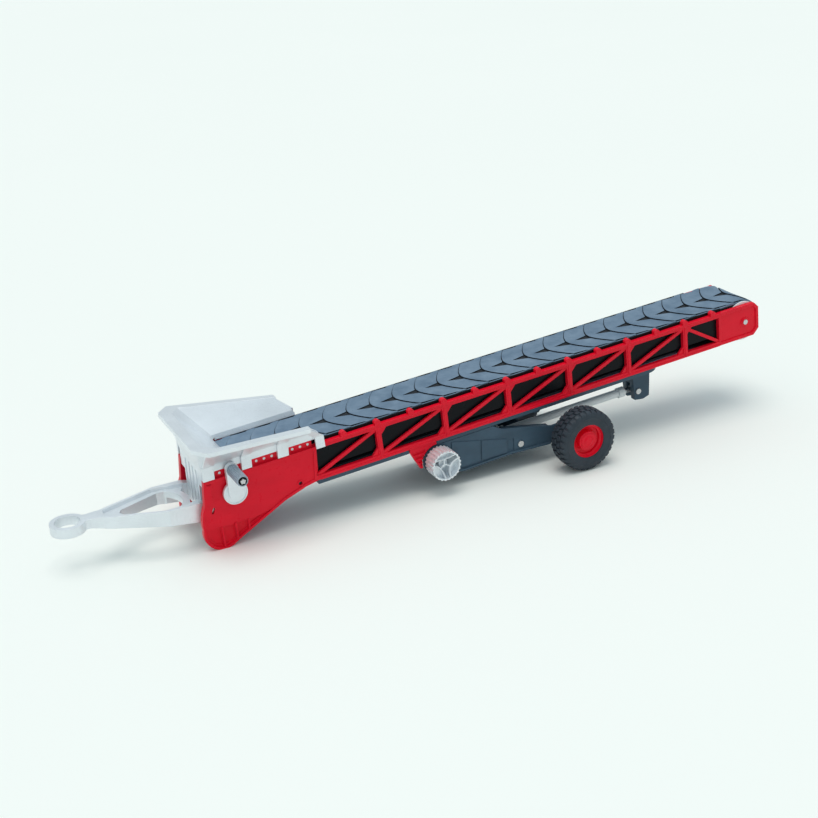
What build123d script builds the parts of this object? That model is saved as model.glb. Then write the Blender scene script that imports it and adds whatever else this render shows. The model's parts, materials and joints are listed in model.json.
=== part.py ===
from build123d import *
from math import atan, cos, pi, radians, sin, sqrt, tan
import os

# Towable belt conveyor for grain, a play-scale model at 1:16. Millimetres and degrees.
# +X runs from the hitch to the discharge end, +Y to the far side, +Z up, Z = 0 is the floor.
# The origin is on the floor, under the middle of the whole length and width.

# Driving dimensions
BAY = 55.0                # one truss bay, post to post
BAYS = 6                  # full bays, before the short last one
LAST_BAY = 33.7           # the short bay in front of the head plate
TILT = 4.54               # slope of the conveyor in its lowest setting
POST0_X = -111.1          # first truss post, measured from the middle of the length
POST0_Z = 47.9            # height of the truss mid line at the first post
HALF_DEPTH = 14.1         # half the depth of a truss
OUTER_Y = 28.5            # outer face of each truss
INNER_Y = 24.9            # inner face of each truss
CHORD = 3.6               # height of a chord
POST_W = 4.0
BRACE_W = 2.7
HEAD_U = 390.1            # head roller axis along the conveyor
HEAD_END = 403.6          # end of the head plate
TAIL_U = -60.0            # tail drum axis along the conveyor
DRUM_V = -0.5             # both roller axes, below the truss mid line
BELT_R = 14.4             # inner radius of the belt round its rollers
BELT_T = 1.8
BELT_HALF = 23.4
LUG_H = 0.9
LUG_PITCH = 19.3
TRAY_V = -17.6            # underside of the belly tray
PIVOT = (101.9, 26.0)     # undercarriage pivot, from the first post
AXLE = (216.3, 24.75)     # wheel axle, from the first post
WALL_Y = 28.0             # outer face of the undercarriage walls
TYRE_R = 24.75
WHEEL_IN = 41.5           # inner face of each wheel
WHEEL_OUT = 61.0
RIM_R = 15.2              # seat of the tyre on the rim
HITCH_X = -172.6          # centre of the hitch eye, from the first post
HITCH_R = 9.0             # bore of the hitch eye
HINGE = (-76.3, 31.0)     # drawbar hinge, from the first post
WEB_TOP = 33.4            # top of the drawbar's web, above the floor
HINGE_R = 2.2
CRANK_THROW = 18.7
CRANK_ANGLE = 93.5
KNOB_R = 12.0
FRAME_SCREW = (-10.9, -11.5)   # screw that joins side plate and truss, along and above the conveyor
STRUT_A = (174.0, 21.2)   # lower end of the strut, from the first post
STRUT_B = (298.0, 30.3)   # upper end of the strut
STRUT_PIN_R = 1.6
GEAR_M = 0.8              # gear module
WHEEL_TEETH = 24
PINION_TEETH = 8
FIT = 0.05                # running clearance on a radius

os.makedirs("parts", exist_ok=True)

# Side planes: local x runs along the part, local y up, and offset(d) stands at Y = -d.
SIDE = Plane(origin=(POST0_X, 0, 0), x_dir=(1, 0, 0), z_dir=(0, -1, 0))
SLOPE = (cos(radians(TILT)), sin(radians(TILT)))
CONV = Plane(origin=(POST0_X, 0, POST0_Z), x_dir=(SLOPE[0], 0, SLOPE[1]), z_dir=(0, -1, 0))
# Bed plane: local x along the conveyor, local y to the far side, offset(v) above the mid line.
BED = Plane(origin=(POST0_X, 0, POST0_Z), x_dir=(SLOPE[0], 0, SLOPE[1]), z_dir=(-SLOPE[1], 0, SLOPE[0]))

TRUSS_END = BAY * BAYS + LAST_BAY
TRAY_SCREWS = (20.0, 62.0, 140.0, 212.0, 284.0)
SPACERS = (110.0, 220.0, 330.0)
CRANK_C = (TAIL_U * SLOPE[0] - DRUM_V * SLOPE[1], POST0_Z + TAIL_U * SLOPE[1] + DRUM_V * SLOPE[0])
GRIP_C = (CRANK_C[0] + CRANK_THROW * cos(radians(CRANK_ANGLE)),
          CRANK_C[1] + CRANK_THROW * sin(radians(CRANK_ANGLE)))


def save(name, node):
    """Label a finished node and write its STEP file."""
    node.part.label = name
    export_step(node.part, f"parts/{name}.step")


def save_pair(name, near):
    """Write a near-side node and its mirror image on the far side."""
    save(f"{name}_near", near)
    with BuildPart() as far:
        mirror(near.part, about=Plane.XZ)
    save(f"{name}_far", far)


def strip(p, q, width):
    """Corners of a straight bar of the given width from p to q."""
    length = sqrt((q[0] - p[0]) ** 2 + (q[1] - p[1]) ** 2)
    nx = -(q[1] - p[1]) / length * width / 2
    ny = (q[0] - p[0]) / length * width / 2
    return [(p[0] + nx, p[1] + ny), (p[0] - nx, p[1] - ny), (q[0] - nx, q[1] - ny), (q[0] + nx, q[1] + ny)]


# ---------------------------------------------------------------- side trusses
with BuildPart() as truss:
    top = HALF_DEPTH
    inner = HALF_DEPTH - CHORD
    with BuildSketch(CONV.offset(OUTER_Y)):
        with BuildLine():
            Polyline((5.2, top), (HEAD_END - 4.3, top), (HEAD_END, top - 4.6), (HEAD_END, 5.2 - top),
                     (HEAD_END - 5.2, -top), (1.9, -top), close=True)
        make_face()
        Polygon((0, inner), (TRUSS_END - 0.2, inner), (TRUSS_END - 0.2, -inner), (0, -inner),
                align=None, mode=Mode.SUBTRACT)
        for i in range(1, BAYS + 1):
            with Locations((BAY * i, 0)):
                Rectangle(POST_W, 2 * top)
    extrude(amount=INNER_Y - OUTER_Y)
    # braces rise from the foot of each post; the short bay's brace falls
    with BuildSketch(CONV.offset(OUTER_Y - 0.8)):
        for i in range(BAYS):
            foot = 3.6 if i == 0 else BAY * i + 1
            Polygon(*strip((foot, -inner), (BAY * (i + 1) - 1, inner), BRACE_W), align=None)
        Polygon(*strip((BAY * BAYS + 1, inner), (TRUSS_END, -inner), BRACE_W), align=None)
        for i in range(1, BAYS + 1):
            x = BAY * i
            Polygon((x + 1.9, inner + 0.1), (x + 7.4, inner + 0.1), (x + 1.9, inner - 6), align=None)
            Polygon((x - 1.9, -inner - 0.1), (x - 7.4, -inner - 0.1), (x - 1.9, 6 - inner), align=None)
    extrude(amount=-2.0)
    # raised outer edge of each chord and rib on each post
    with BuildSketch(CONV.offset(OUTER_Y)):
        for v in (top - 0.7, 0.7 - top):
            with Locations(((TRUSS_END + 5.4) / 2, v)):
                Rectangle(TRUSS_END - 5.4, 1.4)
        for i in range(1, BAYS + 1):
            with Locations((BAY * i, 0)):
                Rectangle(1.6, 2 * top - 1)
    extrude(amount=0.5)
    # upright behind the end of the side plate
    with BuildSketch(CONV.offset(INNER_Y + 1.45)):
        Polygon((0.6, 13.8), (6.6, 13.8), (4.2, -13.8), (-1.8, -13.8), align=None)
    extrude(amount=-1.45)
    # head plate: a sunk panel inside a raised border, and the axle boss
    with BuildSketch(CONV.offset(OUTER_Y)):
        Polygon((TRUSS_END + 1.8, top - 2.4), (HEAD_END - 5.2, top - 2.4), (HEAD_END - 2.4, top - 5.6),
                (HEAD_END - 2.4, 6.2 - top), (HEAD_END - 6.2, 2.4 - top), (TRUSS_END + 1.8, 2.4 - top),
                align=None)
    extrude(amount=-1.1, mode=Mode.SUBTRACT)
    with BuildSketch(CONV.offset(OUTER_Y)):
        with Locations((HEAD_U, DRUM_V)):
            Circle(3.4)
    extrude(amount=-2.2)
    # tongue that laps behind the side plate
    with BuildSketch(CONV.offset(INNER_Y + 1.45)):
        Polygon((-16, -14.5), (-5.0, -14.5), (1.0, -12.0), (1.0, 11.0), (-16, 11.0), align=None)
    extrude(amount=-1.45)
    with BuildSketch(CONV.offset(OUTER_Y)):
        with Locations((HEAD_U, DRUM_V)):
            Circle(2.1)
        with Locations(FRAME_SCREW):
            Circle(1.1)
    extrude(amount=INNER_Y - OUTER_Y, mode=Mode.SUBTRACT)
    # blind holes for the spacer spigots, from inside, and for the tray screws, from below
    with BuildSketch(CONV.offset(INNER_Y)):
        for u in SPACERS:
            with Locations((u, 0)):
                Circle(1.4)
    extrude(amount=2.2, mode=Mode.SUBTRACT)
    with BuildSketch(BED.offset(-top)):
        for u in TRAY_SCREWS:
            with Locations((u, -26.6)):
                Circle(1.0)
    extrude(amount=3.0, mode=Mode.SUBTRACT)

with BuildPart() as truss_near:
    add(truss.part)
    # round cap bosses on the top chord, on this side only
    with BuildSketch(CONV.offset(OUTER_Y + 0.5)):
        for i in range(1, 2 * BAYS + 2):
            with Locations((BAY / 2 * i + 0.2, HALF_DEPTH + 1.2)):
                Circle(2.5)
    extrude(amount=-4.1)
save("truss_near", truss_near)

with BuildPart() as truss_far:
    mirror(truss.part, about=Plane.XZ)
save("truss_far", truss_far)


# ---------------------------------------------------------------- side plates with skid feet
PLATE_IN = 25.0           # inner face of the side plate
PLATE_OUT = 27.6          # its outer face, under the raised panel
PEGS = (-67.4, -39.6, -33.7, -27.8, -11.9, -5.9, 0.0)
PEG_V = 15.6
PEG_R = 1.05


def plate_outline(d):
    """Outline of the side plate below its perforated strip, moved in by d."""
    foot_front = (-85.0 + d, 17.0)
    foot_rear = (-61.8 + 0.4 * d, 3.1 + 1.1 * d)
    with BuildLine(mode=Mode.PRIVATE) as line:
        Polyline((-82.6 + d, 36.0), (-81.3 + d, 54.4 - d), (3.9 - d, 61.2 - d), (2.9 - d, 34.3 + d),
                 (-6.0 - 0.4 * d, 32.0 + d), (-22.8, 25.3 + 1.1 * d), foot_rear)
        ThreePointArc(foot_rear, (-74.5, d), foot_front)
        Spline(foot_front, (-85.2 + d, 26.0), (-82.6 + d, 36.0))
    return line.line


with BuildPart() as side_plate:
    with BuildSketch(SIDE.offset(PLATE_OUT)):
        make_face(plate_outline(0.0))
    extrude(amount=PLATE_IN - PLATE_OUT)
    # perforated strip above the panel, set back from it
    with BuildSketch(CONV.offset(27.0)):
        Polygon((-71.0, 11.5), (3.0, 11.5), (3.0, 18.4), (-71.0, 18.4), align=None)
    extrude(amount=PLATE_IN - 27.0)
    # raised border all round, wider along the front edge, and the ribs of the lower pocket
    with BuildSketch(SIDE.offset(PLATE_OUT)):
        make_face(plate_outline(0.0))
        make_face(plate_outline(1.8), mode=Mode.SUBTRACT)
        Polygon((-82.0, 37.0), (-76.0, 37.0), (-76.0, 51.5), (-81.2, 51.5), align=None)
        for x0, z0, x1, z1 in ((-70.6, 1.4, -71.6, 17.5), (-60.4, 5.0, -61.3, 18.0), (-51.2, 10.5, -51.6, 18.5)):
            Polygon(*strip((x0, z0), (x1, z1), 1.2), align=None)
    extrude(amount=1.9)
    # raised main panel above the pocket
    with BuildSketch(SIDE.offset(PLATE_OUT)):
        make_face(plate_outline(1.7))
        Polygon((-95, -5), (-95, 17.0), (-79.6, 17.0), (-60.8, 17.4), (-51.0, 18.2), (-36.7, 20.2), (-19, 25.6),
                (10, 25.6), (10, -5), align=None, mode=Mode.SUBTRACT)
    extrude(amount=1.1)
    # the pocket's floor is sunk between its ribs
    with BuildSketch(SIDE.offset(PLATE_OUT)):
        for corners in (((-80.0, 9.0), (-77.0, 4.2), (-71.5, 2.6), (-72.4, 15.6), (-79.6, 15.6)),
                        ((-69.9, 2.8), (-65.4, 3.4), (-61.2, 6.6), (-62.1, 16.0), (-70.8, 15.8)),
                        ((-59.7, 7.6), (-52.0, 12.2), (-52.3, 16.8), (-60.6, 16.2)),
                        ((-50.5, 13.2), (-41.5, 18.2), (-50.9, 17.0))):
            Polygon(*corners, align=None)
    extrude(amount=-0.9, mode=Mode.SUBTRACT)
    # slot that shows the end of the drawbar pin, and the ring round the screw
    with BuildSketch(SIDE.offset(PLATE_OUT + 1.1)):
        with Locations(HINGE):
            SlotOverall(5.0, 1.8, rotation=70)
    extrude(amount=-2.8, mode=Mode.SUBTRACT)
    with BuildSketch(CONV.offset(PLATE_OUT + 1.8)):
        with Locations(FRAME_SCREW):
            Circle(2.3)
    extrude(amount=-1.8)
    # perforations, tail shaft bearing and screw hole
    with BuildSketch(CONV.offset(30)):
        for u in PEGS:
            with Locations((u, PEG_V)):
                Circle(PEG_R)
        with Locations((TAIL_U, DRUM_V)):
            Circle(3.0 + FIT)
        with Locations(FRAME_SCREW):
            Circle(1.1)
    extrude(amount=-6, mode=Mode.SUBTRACT)
    with BuildSketch(CONV.offset(PLATE_OUT + 1.8)):
        with Locations(FRAME_SCREW):
            Circle(1.5)
    extrude(amount=-2.4, mode=Mode.SUBTRACT)
    # pocket for the truss tongue, and bearing for the drawbar pin
    with BuildSketch(CONV.offset(PLATE_IN)):
        Polygon((-16, -14.5), (-5.0, -14.5), (-2.0, -16.0), (9.0, -16.0), (9.0, 16.0), (0.2, 16.0), (0.2, 11.0),
                (-16, 11.0), align=None)
    extrude(amount=1.35, mode=Mode.SUBTRACT)
    with BuildSketch(SIDE.offset(PLATE_IN)):
        with Locations(HINGE):
            Circle(HINGE_R + FIT)
    extrude(amount=1.9, mode=Mode.SUBTRACT)
save_pair("side_plate", side_plate)

with BuildPart() as hopper_pegs:
    with BuildSketch(CONV.offset(PLATE_IN)):
        for u in PEGS:
            with Locations((u, PEG_V)):
                Circle(PEG_R)
    extrude(amount=1.8)
    mirror(about=Plane.XZ)
save("hopper_pegs", hopper_pegs)

with BuildPart() as frame_screws:
    with BuildSketch(CONV.offset(PLATE_OUT - 0.6)):
        with Locations(FRAME_SCREW):
            Circle(1.5)
    extrude(amount=0.8)
    with BuildSketch(CONV.offset(PLATE_OUT - 0.6)):
        with Locations(FRAME_SCREW):
            Circle(1.1)
    extrude(amount=-2.1)
    with BuildSketch(CONV.offset(PLATE_OUT + 0.2)):
        with Locations(FRAME_SCREW):
            Rectangle(2.0, 0.5)
            Rectangle(0.5, 2.0)
    extrude(amount=-0.5, mode=Mode.SUBTRACT)
    mirror(about=Plane.XZ)
save("frame_screws", frame_screws)

with BuildPart() as frame_spacers:
    with BuildSketch(CONV.offset(23.3)):
        for u in SPACERS:
            with Locations((u, 0)):
                Circle(2.6)
    extrude(amount=-46.6)
    with BuildSketch(CONV.offset(27.0)):
        for u in SPACERS:
            with Locations((u, 0)):
                Circle(1.4)
    extrude(amount=-54.0)
    with BuildSketch(SIDE.offset(PLATE_IN)):
        with Locations((-71.0, 11.0)):
            Circle(2.6)
    extrude(amount=-2 * PLATE_IN)
save("frame_spacers", frame_spacers)


# ---------------------------------------------------------------- hopper
RIM_FRONT = (-90.0, 85.2)
RIM_REAR = (-1.5, 79.7)
RIM_SLOPE = (RIM_REAR[1] - RIM_FRONT[1]) / (RIM_REAR[0] - RIM_FRONT[0])
RIM_LEN = sqrt(1 + RIM_SLOPE ** 2)
RIM = Plane(origin=(POST0_X, 0, RIM_FRONT[1] - RIM_SLOPE * RIM_FRONT[0]),
            x_dir=(1 / RIM_LEN, 0, RIM_SLOPE / RIM_LEN), z_dir=(-RIM_SLOPE / RIM_LEN, 0, 1 / RIM_LEN))
RIM_W_FRONT = 50.0
RIM_W_REAR = 37.8


def rim_half(x):
    """Half width of the rim's outer edge at x."""
    share = (x - RIM_FRONT[0]) / (RIM_REAR[0] - RIM_FRONT[0])
    return RIM_W_FRONT + (RIM_W_REAR - RIM_W_FRONT) * share


def rim_points(inset, rear, setback=0.0):
    """Tapered rim outline with cut front corners, moved in by inset, and the front edge further by setback."""
    front = RIM_FRONT[0] + inset + setback
    cut = 11.4 - 0.4 * inset
    w0 = rim_half(front) - inset
    w1 = rim_half(rear) - inset
    return [(front, cut - w0), (front + 0.78 * cut, 0.9 - w0), (rear, -w1),
            (rear, w1), (front + 0.78 * cut, w0 - 0.9), (front, w0 - cut)]


def collar_points(front, rear, half, cut):
    """Rectangle with small cut front corners, to match the six points of the rim."""
    return [(front, cut - half), (front + cut, -half), (rear, -half),
            (rear, half), (front + cut, half), (front, half - cut)]


FOLD_V = 23.5             # height of the fold where the outer walls begin to flare
INNER_FOLD_V = 21.0
with BuildPart() as hopper:
    # collar on the side plates, upright to the fold, then flared out to the rim
    with BuildSketch(BED.offset(18.4)):
        Polygon(*collar_points(-79.5, 11.0, 28.0, 1.5), align=None)
    with BuildSketch(BED.offset(FOLD_V)):
        Polygon(*collar_points(-80.2, 8.6, 28.0, 2.0), align=None)
    loft(ruled=True)
    with BuildSketch(BED.offset(FOLD_V)):
        Polygon(*collar_points(-80.2, 8.6, 28.0, 2.0), align=None)
    with BuildSketch(RIM.offset(-1.6)):
        Polygon(*rim_points(4.2, RIM_REAR[0] + 0.6), align=None)
    loft(ruled=True)
    # rim flange and its turned-down lip
    with BuildSketch(RIM.offset(-1.7)):
        Polygon(*rim_points(0.0, RIM_REAR[0]), align=None)
    extrude(amount=1.7)
    with BuildSketch(RIM.offset(-3.2)):
        Polygon(*rim_points(0.0, RIM_REAR[0]), align=None)
        Polygon(*rim_points(1.3, 9.0), align=None, mode=Mode.SUBTRACT)
    extrude(amount=1.6)
    # skirts that close the gap beside the belt
    with BuildSketch(BED.offset(16.9)):
        Polygon(*collar_points(-53.0, 11.0, INNER_Y, 1.0), align=None)
    extrude(amount=2.0)
    # inner space: sloping front and side walls, open to the rear
    with BuildSketch(BED.offset(16.8)):
        Polygon(*collar_points(-53.5, 30.0, 23.8, 1.5), align=None)
    with BuildSketch(BED.offset(INNER_FOLD_V)):
        Polygon(*collar_points(-57.0, 30.0, 24.6, 2.0), align=None)
    loft(ruled=True, mode=Mode.SUBTRACT)
    with BuildSketch(BED.offset(INNER_FOLD_V)):
        Polygon(*collar_points(-57.0, 30.0, 24.6, 2.0), align=None)
    with BuildSketch(RIM.offset(0.1)):
        Polygon(*rim_points(5.8, 30.0, 2.7), align=None)
    loft(ruled=True, mode=Mode.SUBTRACT)
    # hollow in front of the sloping wall, open to the tail drum below
    with BuildSketch(SIDE.offset(25.6)):
        Polygon((-79.0, 50.0), (-56.8, 50.0), (-56.8, 59.0), (-60.2, 62.6), (-78.4, 78.6), (-79.0, 78.6),
                align=None)
    extrude(amount=-51.2, mode=Mode.SUBTRACT)
    # front wall between the side plates, cut away for the drawbar arms
    with BuildSketch(Plane(origin=(POST0_X - 81.0, 0, 0), x_dir=(0, -1, 0), z_dir=(-1, 0, 0))):
        Polygon((-24.6, 63), (-24.6, 48), (-16.0, 48), (-16.0, 24), (16.0, 24), (16.0, 48), (24.6, 48),
                (24.6, 63), align=None)
    extrude(amount=-1.8)
    with BuildSketch(Plane(origin=(POST0_X - 81.0, 0, 0), x_dir=(0, -1, 0), z_dir=(-1, 0, 0))):
        for y in (-12.0, -4.0, 4.0, 12.0):
            with Locations((y, 42.0)):
                SlotOverall(32.0, 3.0, rotation=90)
    extrude(amount=-0.8, mode=Mode.SUBTRACT)
    # corner panels and straps: upright against the side plate, then up the flared wall to the rim
    for side in (-1, 1):
        for x0, x1 in ((-81.4, -73.0), (-52.5, -45.0), (-25.2, -16.9)):
            foot = POST0_Z + 13.35
            with BuildSketch(SIDE.offset(-29.7 * side)):
                Polygon((x0, foot + x0 * tan(radians(TILT))), (x1, foot + x1 * tan(radians(TILT))),
                        (x1, foot + 10.4 + x1 * tan(radians(TILT))), (x0, foot + 10.4 + x0 * tan(radians(TILT))),
                        align=None)
            extrude(amount=2.7 * side)
            u0 = x0 + 2.0
            u1 = x1 + 2.0
            with BuildSketch(BED.offset(FOLD_V)):
                Polygon((u0, 29.7 * side), (u1, 29.7 * side), (u1, 27.0 * side), (u0, 27.0 * side), align=None)
            with BuildSketch(RIM.offset(-1.6)):
                w0 = rim_half(x0)
                w1 = rim_half(x1)
                Polygon((x0, side * (w0 - 2.6)), (x1, side * (w1 - 2.6)), (x1, side * (w1 - 5.4)),
                        (x0, side * (w0 - 5.4)), align=None)
            loft(ruled=True)
    # end tabs: slanted in from the rim, then straight down outside the first truss bay
    for side in (-1, 1):
        with BuildSketch(RIM.offset(-1.7)):
            Polygon((-7.6, 38.1 * side), (-1.5, 37.3 * side), (-1.5, 35.9 * side), (-7.6, 36.7 * side), align=None)
        with BuildSketch(BED.offset(20.5)):
            Polygon((5.0, 30.6 * side), (11.9, 30.6 * side), (11.9, 29.1 * side), (5.0, 29.1 * side), align=None)
        loft(ruled=True)
        with BuildSketch(BED.offset(20.5)):
            Polygon((5.0, 30.6 * side), (11.9, 30.6 * side), (11.9, 29.1 * side), (5.0, 29.1 * side), align=None)
        extrude(amount=-9.2)
        with BuildSketch(BED.offset(18.4)):
            Polygon((5.0, 30.6 * side), (8.4, 30.6 * side), (8.4, 27.0 * side), (5.0, 27.0 * side), align=None)
        extrude(amount=3.0)
save("hopper", hopper)


# ---------------------------------------------------------------- bed liner and belly tray
with BuildPart() as belt_deck:
    with BuildSketch(BED.offset(11.6)):
        with Locations((164.0, 0)):
            Rectangle(408.0, 2 * INNER_Y)
    extrude(amount=1.4)
    with BuildSketch(CONV.offset(INNER_Y)):
        Polygon((-40.0, -6.6), (368.0, -6.6), (368.0, 12.0), (-40.0, 12.0), align=None)
        for u in SPACERS:
            with Locations((u, 0)):
                Circle(1.4, mode=Mode.SUBTRACT)
    extrude(amount=-1.6)
    with BuildSketch(CONV.offset(-INNER_Y)):
        Polygon((-40.0, -6.6), (368.0, -6.6), (368.0, 12.0), (-40.0, 12.0), align=None)
        for u in SPACERS:
            with Locations((u, 0)):
                Circle(1.4, mode=Mode.SUBTRACT)
    extrude(amount=1.6)
    # belt guards beside the carrying run, and a stiffening ledge inside each wall
    for side in (-1, 1):
        with BuildSketch(BED.offset(12.0)):
            with Locations((164.0, 24.4 * side)):
                Rectangle(408.0, 1.0)
        extrude(amount=4.4)
        with BuildSketch(BED.offset(-5.2)):
            with Locations((180.0, 22.6 * side)):
                Rectangle(340.0, 1.6)
        extrude(amount=1.2)
save("belt_deck", belt_deck)

BRACKET_NOTCH = (77.0, 100.4)
with BuildPart() as belly_tray:
    for floor_v, height, half in ((TRAY_V, 1.4, 0.0), (TRAY_V + 1.4, 2.1, 24.6)):
        with BuildSketch(BED.offset(floor_v)) as tray_level:
            with Locations((155.0, 0)):
                Rectangle(303.6, 56.0)
            fillet(tray_level.vertices().group_by(Axis.X)[-1], 14.0)
            if half:
                with Locations((153.0, 0)):
                    Rectangle(300.0, 2 * half, mode=Mode.SUBTRACT)
            for y in (-26.4, 26.4):
                with Locations(((BRACKET_NOTCH[0] + BRACKET_NOTCH[1]) / 2, y)):
                    Rectangle(BRACKET_NOTCH[1] - BRACKET_NOTCH[0], 3.4, mode=Mode.SUBTRACT)
        extrude(amount=height)
    with BuildSketch(BED.offset(TRAY_V)):
        for u in TRAY_SCREWS:
            with Locations((u, -26.6), (u, 26.6)):
                Circle(1.0)
    extrude(amount=4.0, mode=Mode.SUBTRACT)
    with BuildSketch(BED.offset(TRAY_V)):
        for u in TRAY_SCREWS:
            with Locations((u, -26.6), (u, 26.6)):
                Circle(1.3)
    extrude(amount=0.9, mode=Mode.SUBTRACT)
save("belly_tray", belly_tray)

with BuildPart() as tray_screws:
    with BuildSketch(BED.offset(TRAY_V)):
        for u in TRAY_SCREWS:
            with Locations((u, -26.6), (u, 26.6)):
                Circle(1.3)
    extrude(amount=0.9)
    with BuildSketch(BED.offset(TRAY_V)):
        for u in TRAY_SCREWS:
            with Locations((u, -26.6), (u, 26.6)):
                Circle(1.0)
    extrude(amount=6.0)
save("tray_screws", tray_screws)


# ---------------------------------------------------------------- belt, tail drum and head roller
def belt_outline(d):
    """Loop of the belt as seen from the side, grown outwards by d."""
    r = BELT_R + d
    with BuildLine(mode=Mode.PRIVATE) as line:
        Line((TAIL_U, DRUM_V + r), (HEAD_U, DRUM_V + r))
        ThreePointArc((HEAD_U, DRUM_V + r), (HEAD_U + r, DRUM_V), (HEAD_U, DRUM_V - r))
        Polyline((HEAD_U, DRUM_V - r), (346.0, -11.6 - d), (326.0, -9.0 - d), (0.0, -10.4 - d),
                 (TAIL_U, DRUM_V - r))
        ThreePointArc((TAIL_U, DRUM_V - r), (TAIL_U - r, DRUM_V), (TAIL_U, DRUM_V + r))
    return line.line


LUG_FIRST = -52.0
LUGS = 22
LUG_LEAD = 11.0           # how far the ends of a chevron run ahead of its point
with BuildPart() as belt:
    with BuildSketch(CONV.offset(BELT_HALF)):
        make_face(belt_outline(BELT_T))
        make_face(belt_outline(0.0), mode=Mode.SUBTRACT)
    extrude(amount=-2 * BELT_HALF)
    with BuildSketch(BED.offset(DRUM_V + BELT_R + BELT_T - 0.2)):
        for i in range(LUGS):
            u = LUG_FIRST + LUG_PITCH * i
            Polygon((u, 0), (u + LUG_LEAD, -BELT_HALF), (u + LUG_LEAD + 2.6, -BELT_HALF), (u + 3.4, 0),
                    (u + LUG_LEAD + 2.6, BELT_HALF), (u + LUG_LEAD, BELT_HALF), align=None)
    extrude(amount=LUG_H + 0.2)
save("belt", belt)

with BuildPart() as tail_drum:
    with BuildSketch(CONV.offset(24.0)):
        with Locations((TAIL_U, DRUM_V)):
            Circle(BELT_R - 0.1)
            Circle(3.0, mode=Mode.SUBTRACT)
            with PolarLocations(8.6, 6):
                Circle(2.9, mode=Mode.SUBTRACT)
    extrude(amount=-48.0)
save("tail_drum", tail_drum)

with BuildPart() as drum_shaft:
    with BuildSketch(CONV.offset(32.4)):
        with Locations((TAIL_U, DRUM_V)):
            Circle(3.0)
    extrude(amount=-61.0)
save("drum_shaft", drum_shaft)

with BuildPart() as head_roller:
    with BuildSketch(CONV.offset(23.6)):
        with Locations((HEAD_U, DRUM_V)):
            Circle(BELT_R - 0.1)
    extrude(amount=-47.2)
    for start, run in ((24.7, -1.1), (-24.7, 1.1)):
        with BuildSketch(CONV.offset(start)):
            with Locations((HEAD_U, DRUM_V)):
                Circle(BELT_R + BELT_T + 0.4)
        extrude(amount=run)
    with BuildSketch(CONV.offset(30)):
        with Locations((HEAD_U, DRUM_V)):
            Circle(2.1 + FIT)
    extrude(amount=-60, mode=Mode.SUBTRACT)
save("head_roller", head_roller)

with BuildPart() as head_axle:
    with BuildSketch(CONV.offset(29.0)):
        with Locations((HEAD_U, DRUM_V)):
            Circle(2.1)
    extrude(amount=-58.0)
save("head_axle", head_axle)


# ---------------------------------------------------------------- crank
with BuildPart() as crank:
    # dished disc on the shaft, and the arm that stands up from it
    with BuildSketch(SIDE.offset(32.6)):
        with Locations(CRANK_C):
            Circle(8.9)
    extrude(amount=-2.5)
    with BuildSketch(SIDE.offset(32.6)):
        with Locations(CRANK_C):
            Circle(8.0)
    extrude(amount=-0.5, mode=Mode.SUBTRACT)
    with BuildSketch(SIDE.offset(34.0)):
        with Locations(CRANK_C):
            Circle(5.2)
        with Locations(GRIP_C):
            Circle(4.6)
        make_hull()
    extrude(amount=-3.9)
    with BuildSketch(SIDE.offset(33.0)):
        with Locations(CRANK_C):
            Circle(3.0)
    extrude(amount=-3.0, mode=Mode.SUBTRACT)
    with BuildSketch(SIDE.offset(34.0)):
        with Locations(GRIP_C):
            Circle(1.5)
    extrude(amount=-3.9, mode=Mode.SUBTRACT)
save("crank", crank)

GRIP_END = 54.5
GRIP_R = 3.9
with BuildPart() as crank_grip:
    with BuildSketch(SIDE.offset(GRIP_END)):
        with Locations(GRIP_C):
            Circle(GRIP_R)
            with PolarLocations(GRIP_R, 16):
                Circle(0.42)
            Circle(1.5 + FIT, mode=Mode.SUBTRACT)
    extrude(amount=34.2 - GRIP_END)
    # rim that surrounds the washer
    with BuildSketch(SIDE.offset(GRIP_END + 0.9)):
        with Locations(GRIP_C):
            Circle(GRIP_R)
            Circle(3.3, mode=Mode.SUBTRACT)
    extrude(amount=-0.9)
save("crank_grip", crank_grip)

with BuildPart() as grip_washer:
    with BuildSketch(SIDE.offset(GRIP_END + 0.8)):
        with Locations(GRIP_C):
            Circle(3.15)
            Circle(1.5, mode=Mode.SUBTRACT)
    extrude(amount=-0.7)
save("grip_washer", grip_washer)

with BuildPart() as grip_screw:
    with BuildSketch(SIDE.offset(GRIP_END + 0.8)):
        with Locations(GRIP_C):
            Circle(1.5)
    extrude(amount=30.2 - GRIP_END - 0.8)
    # five-lobed head
    with BuildSketch(SIDE.offset(GRIP_END + 0.8)):
        with Locations(GRIP_C):
            Circle(1.55)
            with PolarLocations(1.35, 5, start_angle=90):
                Circle(0.7)
    extrude(amount=0.9)
save("grip_screw", grip_screw)


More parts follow.
